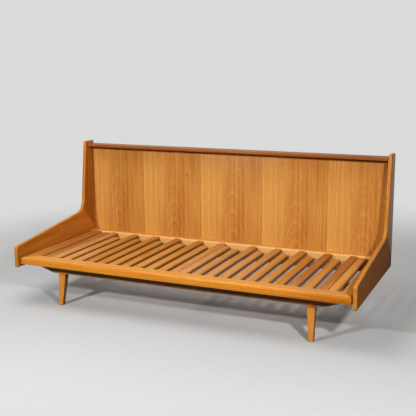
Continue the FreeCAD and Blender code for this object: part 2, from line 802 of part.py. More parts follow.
def bar(node, half, width, start, middles, end_cuts, holes):
    """A bar with a land under each of its slats."""
    solid = box(node + "_body", (f"2 * {half}", width, "bar_body"), (f"-{half}", start, "bar_underside"))
    lands = [
        box(
            node + "_land", ("slat_width", width, "bar_relief"),
            (f"{middle} - slat_width / 2", start, "slat_underside - bar_relief"),
        )
        for middle in middles
    ]
    fusion = doc.addObject("Part::MultiFuse", node + "_blank")
    fusion.Shapes = [solid] + lands
    cut(node, fusion, end_cuts + [holes])


bar(
    "fixed_slat_bar", "fixed_bar_half", "fixed_bar_width", "fixed_bar_front",
    fixed_slats, [], fixed_bar_holes,
)
bar_laps = [
    box(
        "bar_lap",
        ("pull_out_bar_lap + fit_clearance + overrun", "pull_out_bar_width + 2 * overrun", "bar_thickness"),
        (
            "-pull_out_bar_half - overrun" if side < 0 else "side_rail_inner_x - fit_clearance",
            "pull_out_bar_front - overrun", "rail_underside",
        ),
    )
    for side in SIDES.values()
]
bar(
    "pull_out_bar", "pull_out_bar_half", "pull_out_bar_width", "pull_out_bar_front",
    [place for place, reach in pull_out_slats], bar_laps, pull_out_holes,
)

# Legs, each lapped into the face of a leg rail with tapering ends

FOOT_SIDES = {
    "left": ("leg_outer_taper", "left_foot_inner"), "right": ("right_foot_inner", "right_foot_outer"),
}
LAP_DEPTHS = {"front": ("leg_rake", "leg_lap_front"), "rear": ("leg_lap", "leg_rail_thickness")}
RAKE_CUTS = {
    "front": [
        [("0", "0"), ("leg_rake", "leg_shoulder"), ("0", "leg_shoulder")],
        [("leg_foot_depth", "0"), ("leg_reach", "0"), ("leg_reach", "leg_shoulder")],
    ],
    "rear": [
        [("0", "0"), ("leg_foot_back", "0"), ("0", "leg_shoulder")],
        [("leg_reach", "0"), ("leg_reach", "leg_shoulder"), ("leg_rail_thickness", "leg_shoulder")],
    ],
}


def leg(name, side, end, height, place):
    """A leg that tapers to its foot and rakes outwards, with a head of half its depth."""
    near_side, far_side = FOOT_SIDES[side]
    front_view = [(near_side, "0"), (far_side, "0"), ("leg_top_width", "leg_shoulder"), ("0", "leg_shoulder")]
    body = board(name, "XZ_Plane", front_view, "leg_reach", place)
    for index, corners in enumerate(RAKE_CUTS[end]):
        rake = body.newObject("PartDesign::Pocket", f"{name}_rake_{index}")
        rake.Profile = outline(body, f"{name}_side_{index}", "YZ_Plane", corners)
        rake.Type = "ThroughAll"
        rake.Reversed = True
        doc.recompute()
    half_way = number("leg_shoulder") / 2
    round_edges(body, "leg_edge_radius", lambda middle: abs(middle.z - half_way) < number("leg_edge_radius"))
    front, back = LAP_DEPTHS[end]
    lap = [("0", front), ("leg_top_width", front), ("leg_top_width", back), ("0", back)]
    head = body.newObject("PartDesign::Pad", name + "_head")
    head.Profile = outline(body, name + "_lap", "XY_Plane", lap)
    bind(head.Profile[0], "AttachmentOffset.Base.z", "leg_shoulder")
    bind(head, "Length", height)
    doc.recompute()
    return body


for end, start, height, holes in (
    ("front", "front_rail_back", "front_leg_rail_height", front_leg_rail_holes),
    ("rear", "rear_leg_rail_front", "leg_rail_drop", rear_leg_rail_holes),
):
    rail = board(
        f"{end}_leg_rail_board", "XZ_Plane",
        [
            ("leg_rail_tip_length", "0"), ("leg_rail_flat_end", "0"), ("leg_rail_length", "leg_rail_tip_rise"),
            ("leg_rail_length", height), ("0", height), ("0", "leg_rail_tip_rise"),
        ],
        "leg_rail_thickness", ("-leg_outer_x - leg_rail_overhang", start, "leg_shoulder"),
    )
    lap_start = start + (" - overrun" if end == "front" else " + leg_lap - fit_clearance")
    foot_start = start + (" - leg_rake" if end == "front" else "")
    laps = []
    for name, side in SIDES.items():
        inner = "-leg_outer_x" if side < 0 else "leg_outer_x - leg_top_width"
        laps.append(box(
            f"{name}_{end}_lap",
            (
                "leg_top_width + 2 * fit_clearance", "leg_lap + fit_clearance + overrun",
                f"{height} + 2 * overrun",
            ),
            (f"{inner} - fit_clearance", lap_start, "leg_shoulder - overrun"),
        ))
        blank = leg(f"{name}_{end}_leg_blank", name, end, height, (inner, foot_start, "0"))
        cut(f"{name}_{end}_leg", blank, [pin_holes[end]])
    cut(f"{end}_leg_rail", rail, laps + [pin_holes[end], holes])


# Check every object, then write one file for each node

doc.recompute()
for item in doc.Objects:
    if "Invalid" in item.State or "Error" in item.State:
        raise RuntimeError(f"{item.Name} failed: {item.State}")
os.makedirs("parts", exist_ok=True)
for node, piece in nodes.items():
    if piece.Shape.isNull() or not piece.Shape.isValid():
        raise RuntimeError(f"{node} has no valid shape")
for node, piece in nodes.items():
    piece.Shape.exportStep(f"parts/{node}.step")
    print(node, len(piece.Shape.Solids), round(piece.Shape.Volume))
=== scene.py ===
import json
import math
import random

import bpy
from mathutils import Matrix, Vector


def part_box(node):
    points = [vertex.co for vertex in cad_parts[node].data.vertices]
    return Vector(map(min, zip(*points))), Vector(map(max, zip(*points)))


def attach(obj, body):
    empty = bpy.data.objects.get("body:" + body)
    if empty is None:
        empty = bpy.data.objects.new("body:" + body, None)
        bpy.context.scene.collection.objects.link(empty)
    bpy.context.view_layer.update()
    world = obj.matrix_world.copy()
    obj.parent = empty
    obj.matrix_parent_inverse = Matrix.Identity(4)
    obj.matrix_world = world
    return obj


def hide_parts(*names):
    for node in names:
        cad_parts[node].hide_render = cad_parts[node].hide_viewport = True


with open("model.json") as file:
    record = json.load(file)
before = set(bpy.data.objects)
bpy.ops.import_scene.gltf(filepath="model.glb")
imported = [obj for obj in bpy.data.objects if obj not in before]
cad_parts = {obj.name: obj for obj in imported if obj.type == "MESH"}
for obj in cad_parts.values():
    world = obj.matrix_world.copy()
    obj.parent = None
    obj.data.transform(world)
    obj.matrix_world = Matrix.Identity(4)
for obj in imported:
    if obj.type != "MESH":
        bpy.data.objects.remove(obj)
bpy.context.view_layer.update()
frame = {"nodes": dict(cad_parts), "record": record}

ACROSS = Vector((1, 0, 0))
DEEP = Vector((0, 1, 0))
UP = Vector((0, 0, 1))
ARM_GRAIN = Vector((0, 1, 0.07)).normalized()

# Wood under an amber lacquer: early wood, then late wood, as linear colours
HONEY = ((0.660, 0.285, 0.058), (0.430, 0.138, 0.020))
GOLD = ((0.880, 0.320, 0.028), (0.500, 0.146, 0.008))
CORN = ((0.790, 0.300, 0.046), (0.540, 0.176, 0.022))
SYRUP = ((0.650, 0.234, 0.027), (0.350, 0.114, 0.009))
AMBER = ((0.620, 0.240, 0.036), (0.370, 0.104, 0.011))
RUSSET = ((0.480, 0.168, 0.029), (0.262, 0.069, 0.010))
ROSE = ((0.660, 0.300, 0.090), (0.450, 0.160, 0.038))
PALE = ((0.660, 0.310, 0.068), (0.490, 0.196, 0.031))
BEECH = ((0.520, 0.270, 0.110), (0.380, 0.170, 0.060))
VENEER = ((0.740, 0.355, 0.078), (0.400, 0.118, 0.013))

# Wood that is rubbed or bare, with bare wood also used as painted light on tops and fronts; dark dirt in
# the pores, also used as painted shade
WORN = (0.760, 0.440, 0.170)
BARE = (0.830, 0.425, 0.122)
GRIME = (0.100, 0.030, 0.006)

# Old zinc on the screws
ZINC_BRIGHT = (0.52, 0.50, 0.46)
ZINC_DULL = (0.26, 0.24, 0.21)
ZINC_ROUGH = 0.25
TARNISH_ROUGH = 0.35
TARNISH_STRENGTH = 0.15
TARNISH_DEPTH = 0.0002

# Patterns: cells in a metre across the grain and along it, then detail and its roughness
SWAY = (6.0, 0.9, 2.0, 0.5)
SPLITS = (210.0, 8.0, 2.0, 0.5)
FIBRES = (420.0, 7.0, 3.0, 0.6)
STREAKS = (60.0, 1.1, 3.0, 0.6)
LINES = (170.0, 1.5, 2.0, 0.6)
CLOUDS = (8.0, 1.6, 2.0, 0.5)
PORES = (1300.0, 45.0, 1.0, 0.5)
SCUFFS = (240.0, 40.0, 3.0, 0.5)
RUBS = (26.0, 3.0, 4.0, 0.65)
TARNISH = (380.0, 380.0, 4.0, 0.6)

# Grey ramps: place, then grey
SEASON_RAMP = ((0.0, 0.55), (0.10, 1.0), (0.42, 0.30), (0.82, 0.0), (1.0, 0.55))
PORE_RAMP = ((0.57, 0.0), (0.66, 1.0))
SCUFF_RAMP = ((0.40, 0.0), (0.62, 1.0))
RUB_RAMP = ((0.50, 0.0), (0.70, 1.0))
EDGE_RAMP = ((0.06, 0.0), (0.35, 1.0), (0.75, 1.0), (0.97, 0.0))
LEAF_RAMP = ((0.0, 0.04), (0.03, 0.16), (0.22, 0.24), (0.32, 0.42), (0.55, 0.56), (1.0, 0.62))
KNOT_RAMP = ((0.25, 1.0), (0.75, 0.0))

# The log: how far the grain wanders in metres, how unlike its years are, how much each pattern darkens it
SWAY_REACH = 0.022
UNEVEN_RATE = 0.37
UNEVEN_YEARS = 1.6
YEAR_LEAST = 0.25
YEAR_SHARE = 0.75
RING_MEAN = 0.25
CLOUD_DARK = 0.9
LINE_DARK = 0.9
FIBRE_DARK = 0.5
PORE_LEAST = 0.25
PORE_IN_RING = 0.8
PORE_DARK = 0.55

# Roughness and relief of the lacquered wood
ROUGH_LEAST = 0.34
CLOUD_ROUGH = 0.14
PORE_ROUGH = 0.18
WORN_ROUGH = 0.22
FIBRE_RELIEF = 0.35
PORE_RELIEF = -0.8
RING_RELIEF = -0.2
RELIEF_STRENGTH = 0.30
RELIEF_DEPTH = 0.0004
COAT = 0.03
COAT_ROUGH = 0.20

# How squarely a face looks its way where its finish starts to change, and where it has changed
BROAD_FACE = (0.5, 0.9)
TOP_FACE = (0.84, 0.99)
FRONT_FACE = (0.1, 0.5)
FLANK_FACE = (0.70, 1.0)
OUTER_FACE = (0.6, 0.98)

# Boards: painted shade on an outer face, edge polish, the stretch in which painted shade darkens a rail
# towards its right end, and how ragged the rings are
OUTER_DARK = 0.70
OUTER_GRIME = 0.33
EDGE_POLISH = -0.16
FAR_END = (0.45, 0.85)
BOARD_RAGGED = 0.002

# The back's veneer: leaves of one width, each cut deeper in the log than the last and with a lower crown
LEAF_START = -0.9815
LEAF_WIDTH = 0.3975
LEAF_HEART = 0.53
LEAF_DEPTH = 0.080
LEAF_DEEPER = 0.0009
LEAF_LOWER = 0.03
LEAF_RING = 0.0100
LEAF_TAPER = 0.150
LEAF_RAGGED = 0.008
LEAF_FIGURE = -0.32
LEAF_STREAK = 0.90
LEAF_GLOSS = 0.10

# The back is darker towards its top, more so to the right, as painted shade, and has one small knot
TOP_SHADE = (0.45, 0.80)
TOP_DARK = 0.15
TOP_DARK_RIGHT = 0.08
KNOT = Vector((-0.282, 0, 0.668))
KNOT_SQUEEZE = 0.6
CENTIMETRES = 100.0


# Node trees

def step(tree, kind, feeds=None, **settings):
    """Add one shader node, set it up and feed its sockets with values or with other nodes' outputs."""
    made = tree.nodes.new(kind)
    for name, value in settings.items():
        setattr(made, name, value)
    for socket, value in (feeds or {}).items():
        if isinstance(value, bpy.types.NodeSocket):
            tree.links.new(value, made.inputs[socket])
        else:
            made.inputs[socket].default_value = value
    return made


def sums(tree, operation, first, second=0.0, third=0.0, clamp=False):
    """One Math node's output."""
    return step(tree, "ShaderNodeMath", {0: first, 1: second, 2: third},
                operation=operation, use_clamp=clamp).outputs[0]


def vectors(tree, operation, first, second=(0, 0, 0), third=(0, 0, 0)):
    """One Vector Math node's outputs: a vector first, and a Value where the operation gives a number."""
    return step(tree, "ShaderNodeVectorMath", {0: first, 1: second, 2: third}, operation=operation).outputs


def parts_of(tree, place):
    """A place's three coordinates."""
    return step(tree, "ShaderNodeSeparateXYZ", {0: place}).outputs


def object_place(tree):
    """The place on the piece, in the shared frame."""
    return step(tree, "ShaderNodeTexCoord").outputs["Object"]


def noise(tree, place, pattern):
    """A pattern's noise, with its grain along the Z axis."""
    across, along, detail, rough = pattern
    squeezed = vectors(tree, "MULTIPLY", place, (across, across, along))[0]
    return step(tree, "ShaderNodeTexNoise",
                {"Vector": squeezed, "Scale": 1.0, "Detail": detail, "Roughness": rough}).outputs


def swing(tree, pattern):
    """A pattern's swing to both sides of its middle."""
    return sums(tree, "SUBTRACT", pattern, 0.5)


def ramp(tree, value, stops):
    """A grey ramp through (place, grey) stops."""
    made = step(tree, "ShaderNodeValToRGB", {0: value})
    points = made.color_ramp.elements
    while len(points) < len(stops):
        points.new(0.5)
    for point, (place, grey) in zip(points, stops):
        point.position = place
        point.color = (grey, grey, grey, 1)
    return made.outputs[0]


def eased(tree, value, span):
    """0 to 1, with soft ends, as a value goes through a span."""
    start, end = span
    return step(tree, "ShaderNodeMapRange", {0: value, 1: start, 2: end},
                interpolation_type="SMOOTHSTEP").outputs[0]


def mixed(tree, amount, low, high):
    """Two colours mixed by an amount."""
    made = step(tree, "ShaderNodeMix", {0: amount}, data_type="RGBA")
    for socket, value in ((6, low), (7, high)):
        if isinstance(value, bpy.types.NodeSocket):
            tree.links.new(value, made.inputs[socket])
        else:
            made.inputs[socket].default_value = (*value, 1)
    return made.outputs[2]


def leaning(tree, way):
    """How squarely a surface looks a way: 1 straight at it, 0 square to it."""
    normal = step(tree, "ShaderNodeTexCoord").outputs["Normal"]
    return vectors(tree, "DOT_PRODUCT", normal, way)["Value"]


def facing(tree, way, span, both=False):
    """0 to 1 as a surface turns to face a way, or both that way and its opposite."""
    lean = leaning(tree, way)
    if both:
        lean = sums(tree, "ABSOLUTE", lean)
    start, end = span
    return ramp(tree, lean, ((start, 0.0), (end, 1.0)))


def rubbed_edges(tree, thick):
    """1 on the rounded edges round the two broad faces of a board whose thickness is along thick."""
    return ramp(tree, sums(tree, "ABSOLUTE", leaning(tree, thick)), EDGE_RAMP)


# Finishes

def oak_log():
    """The inside of an oak log: rings round the heart on the Z axis, fibres and pores along it."""
    tree = bpy.data.node_groups.new("oak_log", "ShaderNodeTree")
    face = tree.interface
    face.new_socket("Place", in_out="INPUT", socket_type="NodeSocketVector")
    for name in ("Early wood", "Late wood"):
        face.new_socket(name, in_out="INPUT", socket_type="NodeSocketColor")
    for name in ("Ring width", "Taper", "Ragged", "Figure", "Streak", "Tone",
                 "Bare", "Wear", "Scuff", "Grime"):
        face.new_socket(name, in_out="INPUT", socket_type="NodeSocketFloat")
    face.new_socket("Color", in_out="OUTPUT", socket_type="NodeSocketColor")
    for name in ("Roughness", "Height"):
        face.new_socket(name, in_out="OUTPUT", socket_type="NodeSocketFloat")
    given = tree.nodes.new("NodeGroupInput").outputs
    made = tree.nodes.new("NodeGroupOutput").inputs
    place = given["Place"]

    sway = vectors(tree, "SUBTRACT", noise(tree, place, SWAY)["Color"], (0.5, 0.5, 0.5))[0]
    swayed = vectors(tree, "MULTIPLY_ADD", sway, (SWAY_REACH, SWAY_REACH, 0.0), place)[0]
    radius = vectors(tree, "LENGTH", vectors(tree, "MULTIPLY", swayed, (1, 1, 0))[0])["Value"]
    radius = sums(tree, "MULTIPLY_ADD", parts_of(tree, swayed)[2], given["Taper"], radius)
    radius = sums(tree, "MULTIPLY_ADD", swing(tree, noise(tree, place, SPLITS)[0]), given["Ragged"], radius)
    years = sums(tree, "DIVIDE", radius, given["Ring width"])
    uneven = step(tree, "ShaderNodeTexNoise", {"W": years, "Scale": UNEVEN_RATE, "Detail": 1.0},
                  noise_dimensions="1D").outputs[0]
    years = sums(tree, "MULTIPLY_ADD", uneven, UNEVEN_YEARS, years)
    year = step(tree, "ShaderNodeTexWhiteNoise", {"W": sums(tree, "FLOOR", years)},
                noise_dimensions="1D").outputs["Value"]
    ring = sums(tree, "MULTIPLY", ramp(tree, sums(tree, "FRACT", years), SEASON_RAMP),
                sums(tree, "MULTIPLY_ADD", year, YEAR_SHARE, YEAR_LEAST))

    fibre = noise(tree, swayed, FIBRES)[0]
    streak = noise(tree, swayed, STREAKS)[0]
    line = noise(tree, swayed, LINES)[0]
    cloud = noise(tree, place, CLOUDS)[0]
    pores = sums(tree, "MULTIPLY", ramp(tree, noise(tree, swayed, PORES)[0], PORE_RAMP),
                 sums(tree, "MULTIPLY_ADD", ring, PORE_IN_RING, PORE_LEAST), clamp=True)

    bands = swing(tree, streak)
    for pattern, weight in ((line, LINE_DARK), (fibre, FIBRE_DARK)):
        bands = sums(tree, "MULTIPLY_ADD", swing(tree, pattern), weight, bands)
    figure = sums(tree, "SUBTRACT", ring, RING_MEAN)
    dark = sums(tree, "MULTIPLY_ADD", figure, given["Figure"], given["Tone"])
    dark = sums(tree, "MULTIPLY_ADD", swing(tree, cloud), CLOUD_DARK, dark)
    dark = sums(tree, "MULTIPLY_ADD", bands, given["Streak"], dark, clamp=True)
    scuffs = ramp(tree, noise(tree, swayed, SCUFFS)[0], SCUFF_RAMP)
    rubs = ramp(tree, noise(tree, swayed, RUBS)[0], RUB_RAMP)
    worn = sums(tree, "MULTIPLY", given["Wear"], scuffs)
    worn = sums(tree, "MULTIPLY_ADD", given["Scuff"], rubs, worn, clamp=True)
    color = mixed(tree, dark, given["Early wood"], given["Late wood"])
    # Bare worn wood, which on tops and fronts also stands for painted light
    color = mixed(tree, given["Bare"], color, BARE)
    color = mixed(tree, sums(tree, "MULTIPLY", pores, PORE_DARK), color, GRIME)
    color = mixed(tree, worn, color, WORN)
    # Painted shade on sides and outer faces
    color = mixed(tree, given["Grime"], color, GRIME)
    tree.links.new(color, made["Color"])

    rough = sums(tree, "MULTIPLY_ADD", cloud, CLOUD_ROUGH, ROUGH_LEAST)
    rough = sums(tree, "MULTIPLY_ADD", pores, PORE_ROUGH, rough)
    rough = sums(tree, "MULTIPLY_ADD", worn, WORN_ROUGH, rough)
    tree.links.new(rough, made["Roughness"])
    relief = sums(tree, "MULTIPLY_ADD", fibre, FIBRE_RELIEF, sums(tree, "MULTIPLY", pores, PORE_RELIEF))
    relief = sums(tree, "MULTIPLY_ADD", ring, RING_RELIEF, relief)
    tree.links.new(relief, made["Height"])
    return tree


OAK_LOG = oak_log()


def lacquered(name, gloss):
    """A new material with a satin lacquer, and its tree and shader."""
    material = bpy.data.materials.new(name)
    material.use_nodes = True
    tree = material.node_tree
    shader = tree.nodes["Principled BSDF"]
    shader.inputs["Specular IOR Level"].default_value = gloss
    shader.inputs["Coat Weight"].default_value = COAT
    shader.inputs["Coat Roughness"].default_value = COAT_ROUGH
    return material, tree, shader


def fill_from_log(tree, shader, place, tones, **looks):
    """Cut a surface from the log: colour, roughness and relief. Looks are named as the log's sockets."""
    early, late = tones
    wood = step(tree, "ShaderNodeGroup", node_tree=OAK_LOG)
    tree.links.new(place, wood.inputs["Place"])
    wood.inputs["Early wood"].default_value = (*early, 1)
    wood.inputs["Late wood"].default_value = (*late, 1)
    for name, value in looks.items():
        socket = wood.inputs[name.capitalize().replace("_", " ")]
        if isinstance(value, bpy.types.NodeSocket):
            tree.links.new(value, socket)
        else:
            socket.default_value = value
    relief = step(tree, "ShaderNodeBump", {"Strength": RELIEF_STRENGTH, "Distance": RELIEF_DEPTH,
                                           "Height": wood.outputs["Height"]})
    tree.links.new(wood.outputs["Color"], shader.inputs["Base Color"])
    tree.links.new(wood.outputs["Roughness"], shader.inputs["Roughness"])
    tree.links.new(relief.outputs[0], shader.inputs["Normal"])
    return wood


def board_wood(name, middle, grain, heart, tones, thick, ring_width=0.0045, taper=0.012, figure=0.60,
               streak=1.5, tone=0.40, wear=0.15, scuff=0.0, edge=0.0, lip=0.0, crest=0.0, brow=0.0,
               flank=0.0, far_end=0.0, outside=None, gloss=0.20, dull=0.0):
    """Solid wood for one board, cut from a log along the grain.

    Heart is the way from the board's middle to the heart of its log. Tone and lip darken all of it and its
    narrow faces, or lighten them where below 0; edge paints shade on its rounded edges, and the right-end
    shade paints shade towards its right end. Wear rubs the edges and scuff the rest. The top setting
    lightens the top faces with bare worn wood and painted light, and the front setting lightens the front
    faces with painted light.
    The side shade paints shade on the two sides. Outside is the way that the outer face looks, which is
    darker by painted shade and by dull rougher than the inner one.
    """
    material, tree, shader = lacquered(name, gloss)
    turn = grain.rotation_difference(UP)
    whole = object_place(tree)
    board = step(tree, "ShaderNodeMapping", {
        "Vector": whole,
        "Location": -(turn @ (middle + heart)),
        "Rotation": turn.to_euler(),
    })
    worn = sums(tree, "MULTIPLY", rubbed_edges(tree, thick), wear)
    bare = grime = 0.0
    if lip:
        tone = sums(tree, "MULTIPLY_ADD", facing(tree, thick, BROAD_FACE, both=True), -lip, tone + lip)
    # Painted shade on the rounded edges
    if edge:
        tone = sums(tree, "MULTIPLY_ADD", rubbed_edges(tree, thick), edge, tone)
    # Top faces lighter: bare worn wood, and painted light
    if crest:
        bare = sums(tree, "MULTIPLY", facing(tree, UP, TOP_FACE), crest)
    # Front faces lighter with painted light
    if brow:
        bare = sums(tree, "MULTIPLY_ADD", facing(tree, -DEEP, FRONT_FACE), brow, bare)
    # Painted shade towards the board's right end
    if far_end:
        right = eased(tree, parts_of(tree, whole)[0], FAR_END)
        tone = sums(tree, "MULTIPLY_ADD", right, far_end, tone)
    # Painted shade on the two sides
    if flank:
        grime = sums(tree, "MULTIPLY", facing(tree, ACROSS, FLANK_FACE, both=True), flank)
    # Painted shade on the outer face
    if outside:
        outer = facing(tree, outside, OUTER_FACE)
        tone = sums(tree, "MULTIPLY_ADD", outer, OUTER_DARK, tone)
        grime = sums(tree, "MULTIPLY", outer, OUTER_GRIME)
    wood = fill_from_log(tree, shader, board.outputs[0], tones, ring_width=ring_width, taper=taper,
                         ragged=BOARD_RAGGED, figure=figure, streak=streak, tone=tone, bare=bare,
                         wear=worn, scuff=scuff, grime=grime)
    if outside and dull:
        rough = sums(tree, "MULTIPLY_ADD", outer, dull, wood.outputs["Roughness"])
        rough = sums(tree, "MULTIPLY_ADD", rubbed_edges(tree, thick), EDGE_POLISH, rough, clamp=True)
        tree.links.new(rough, shader.inputs["Roughness"])
    return material


def leaf_veneer(name):
    """Slip-matched veneer: the same crown figure in each leaf, pale on its left, browner to its right."""
    material, tree, shader = lacquered(name, LEAF_GLOSS)
    whole = object_place(tree)
    right, _, high = parts_of(tree, whole)
    across = sums(tree, "DIVIDE", sums(tree, "SUBTRACT", right, LEAF_START), LEAF_WIDTH)
    leaf = sums(tree, "FLOOR", across)
    share = sums(tree, "FRACT", across)
    place = step(tree, "ShaderNodeCombineXYZ", {
        0: sums(tree, "MULTIPLY", sums(tree, "SUBTRACT", share, LEAF_HEART), LEAF_WIDTH),
        1: sums(tree, "MULTIPLY_ADD", leaf, LEAF_DEEPER, LEAF_DEPTH),
        2: sums(tree, "MULTIPLY_ADD", leaf, LEAF_LOWER, high),
    }).outputs[0]
    squeezed = vectors(tree, "MULTIPLY", whole, (1, 0, KNOT_SQUEEZE))[0]
    away = vectors(tree, "DISTANCE", squeezed, (KNOT.x, 0, KNOT.z * KNOT_SQUEEZE))["Value"]
    knot = ramp(tree, sums(tree, "MULTIPLY", away, CENTIMETRES), KNOT_RAMP)
    tone = sums(tree, "ADD", ramp(tree, share, LEAF_RAMP), knot)
    # Painted shade towards the top of the back, deeper to the right
    shade = sums(tree, "MULTIPLY_ADD", right, TOP_DARK_RIGHT, TOP_DARK)
    tone = sums(tree, "MULTIPLY_ADD", eased(tree, high, TOP_SHADE), shade, tone)
    fill_from_log(tree, shader, place, VENEER, ring_width=LEAF_RING, taper=LEAF_TAPER, ragged=LEAF_RAGGED,
                  figure=LEAF_FIGURE, streak=LEAF_STREAK, tone=tone)
    return material


def old_zinc(name):
    """Zinc-plated steel, dulled with age."""
    material = bpy.data.materials.new(name)
    material.use_nodes = True
    tree = material.node_tree
    shader = tree.nodes["Principled BSDF"]
    shader.inputs["Metallic"].default_value = 1.0
    tarnish = noise(tree, object_place(tree), TARNISH)[0]
    rough = sums(tree, "MULTIPLY_ADD", tarnish, TARNISH_ROUGH, ZINC_ROUGH)
    relief = step(tree, "ShaderNodeBump", {"Strength": TARNISH_STRENGTH, "Distance": TARNISH_DEPTH,
                                           "Height": tarnish}).outputs[0]
    tree.links.new(mixed(tree, tarnish, ZINC_BRIGHT, ZINC_DULL), shader.inputs["Base Color"])
    tree.links.new(rough, shader.inputs["Roughness"])
    tree.links.new(relief, shader.inputs["Normal"])
    return material


# Pieces

SLOT_OF = {row["node"]: row["material_slot"] for row in frame["record"]["subparts"]}
BODY_OF = {node: body for body, nodes in frame["record"]["behaviour"]["bodies"].items() for node in nodes}

# Sizes in metres: merging, broken edges, the feet's rings (inset, lift), the screws
MERGE = 0.00001
ARRIS = 0.0006
LEG_ARRIS = 0.0015
SHORTEST_ARRIS = 0.008
SOLE = 0.0001
FOOT_RINGS = ((0.0012, 0.0033), (0.0018, 0.0012))
HEAD_RADIUS = 0.004
HEAD_HEIGHT = 0.003
HEAD_ROUND = 0.0016
SHANK_STEP = 0.002
SLOT_CUT = (0.010, 0.0011, 0.0022)

FLAT_ANGLE = math.radians(0.3)
SHARP_ANGLE = math.radians(40)
SMOOTH_ANGLE = math.radians(32)
FACES_UP = 0.9

chance = random.Random(11)


def middle_of(node):
    """The middle of a CAD node's box."""
    low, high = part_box(node)
    return (low + high) / 2


def stand_for(piece, node):
    """Put a piece in a CAD node's place: on its body, with the node hidden."""
    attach(piece, BODY_OF[node])
    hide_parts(node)


def merged_copy(node, name):
    """A copy of a CAD node with its loose triangles joined, left active, selected and in edit mode."""
    bpy.ops.object.select_all(action="DESELECT")
    copy = bpy.data.objects.new(name, frame["nodes"][node].data.copy())
    bpy.context.scene.collection.objects.link(copy)
    copy.data.materials.clear()
    copy.select_set(True)
    bpy.context.view_layer.objects.active = copy
    bpy.ops.object.mode_set(mode="EDIT")
    bpy.ops.mesh.select_mode(type="EDGE")
    bpy.ops.mesh.select_all(action="SELECT")
    bpy.ops.mesh.remove_doubles(threshold=MERGE)
    return copy


def pick_faces(piece, wanted):
    """Select the faces that a test picks, and nothing else."""
    bpy.context.tool_settings.mesh_select_mode = (False, False, True)
    for group in (piece.data.vertices, piece.data.edges):
        group.foreach_set("select", [False] * len(group))
    for face in piece.data.polygons:
        face.select = wanted(face)


def pick_points(piece, wanted):
    """Select the points that a test picks, and nothing else."""
    bpy.context.tool_settings.mesh_select_mode = (True, False, False)
    for point in piece.data.vertices:
        point.select = wanted(point)
    for group in (piece.data.edges, piece.data.polygons):
        group.foreach_set("select", [False] * len(group))


def round_foot(leg):
    """Round the rim of a leg's sole by two insets, each with the ring outside it lifted off the floor."""
    for inset, lift in FOOT_RINGS:
        pick_faces(leg, lambda face: face.normal.z < -FACES_UP and face.center.z < SOLE)
        bpy.ops.object.mode_set(mode="EDIT")
        bpy.ops.mesh.inset(thickness=inset)
        bpy.ops.object.mode_set(mode="OBJECT")
        pick_points(leg, lambda point: point.co.z < SOLE and not point.select)
        bpy.ops.object.mode_set(mode="EDIT")
        bpy.ops.transform.translate(value=(0, 0, lift))
        bpy.ops.object.mode_set(mode="OBJECT")


def softened(node, arris, foot=False):
    """A merged copy of a board with its sharp long edges broken by a small arris."""
    piece = merged_copy(node, node + "_wood")
    bpy.ops.mesh.customdata_custom_splitnormals_clear()
    bpy.ops.mesh.dissolve_limited(angle_limit=FLAT_ANGLE)
    if foot:
        bpy.ops.object.mode_set(mode="OBJECT")
        round_foot(piece)
        bpy.ops.object.mode_set(mode="EDIT")
        bpy.ops.mesh.select_mode(type="EDGE")
    bpy.ops.mesh.select_all(action="DESELECT")
    bpy.ops.mesh.edges_select_sharp(sharpness=SHARP_ANGLE)
    bpy.ops.object.mode_set(mode="OBJECT")
    mesh = piece.data
    for edge in mesh.edges:
        start, end = (mesh.vertices[index].co for index in edge.vertices)
        edge.select = edge.select and (end - start).length > SHORTEST_ARRIS
    bpy.ops.object.mode_set(mode="EDIT")
    bpy.ops.mesh.bevel(offset=arris, segments=2, profile=0.5, clamp_overlap=True)
    bpy.ops.object.mode_set(mode="OBJECT")
    bpy.ops.object.shade_smooth_by_angle(angle=SMOOTH_ANGLE)
    stand_for(piece, node)
    return piece


def lay_board(node, grain, heart, tones, thick, arris=ARRIS, foot=False, **look):
    """A board in its node's place, with its own piece of the log."""
    piece = softened(node, arris, foot)
    finish = board_wood(node + "_finish", middle_of(node), grain, Vector(heart), tones, thick, **look)
    piece.data.materials.append(finish)


def slotted_screw(length):
    """One round-headed screw with a slot, its head's top at the origin and its shank down the Z axis."""
    bpy.ops.object.select_all(action="DESELECT")
    bpy.ops.mesh.primitive_cylinder_add(vertices=24, radius=HEAD_RADIUS, depth=HEAD_HEIGHT,
                                        location=(0, 0, -HEAD_HEIGHT / 2))
    screw = bpy.context.object
    bpy.ops.object.transform_apply(location=True)
    pick_faces(screw, lambda face: face.normal.z > FACES_UP)
    bpy.ops.object.mode_set(mode="EDIT")
    bpy.ops.mesh.bevel(offset=HEAD_ROUND, segments=4, profile=0.5)
    bpy.ops.object.mode_set(mode="OBJECT")
    pick_faces(screw, lambda face: face.normal.z < -FACES_UP)
    bpy.ops.object.mode_set(mode="EDIT")
    bpy.ops.mesh.inset(thickness=SHANK_STEP)
    bpy.ops.mesh.extrude_region_move(TRANSFORM_OT_translate={"value": (0, 0, HEAD_HEIGHT - length)})
    bpy.ops.object.mode_set(mode="OBJECT")
    bpy.ops.mesh.primitive_cube_add(size=1, location=(0, 0, 0), scale=SLOT_CUT)
    blade = bpy.context.object
    bpy.ops.object.select_all(action="DESELECT")
    bpy.context.view_layer.objects.active = screw
    screw.select_set(True)
    slot = screw.modifiers.new("slot", "BOOLEAN")
    slot.object = blade
    bpy.ops.object.modifier_apply(modifier="slot")
    bpy.data.objects.remove(blade)
    bpy.ops.object.shade_smooth_by_angle(angle=SMOOTH_ANGLE)
    return screw


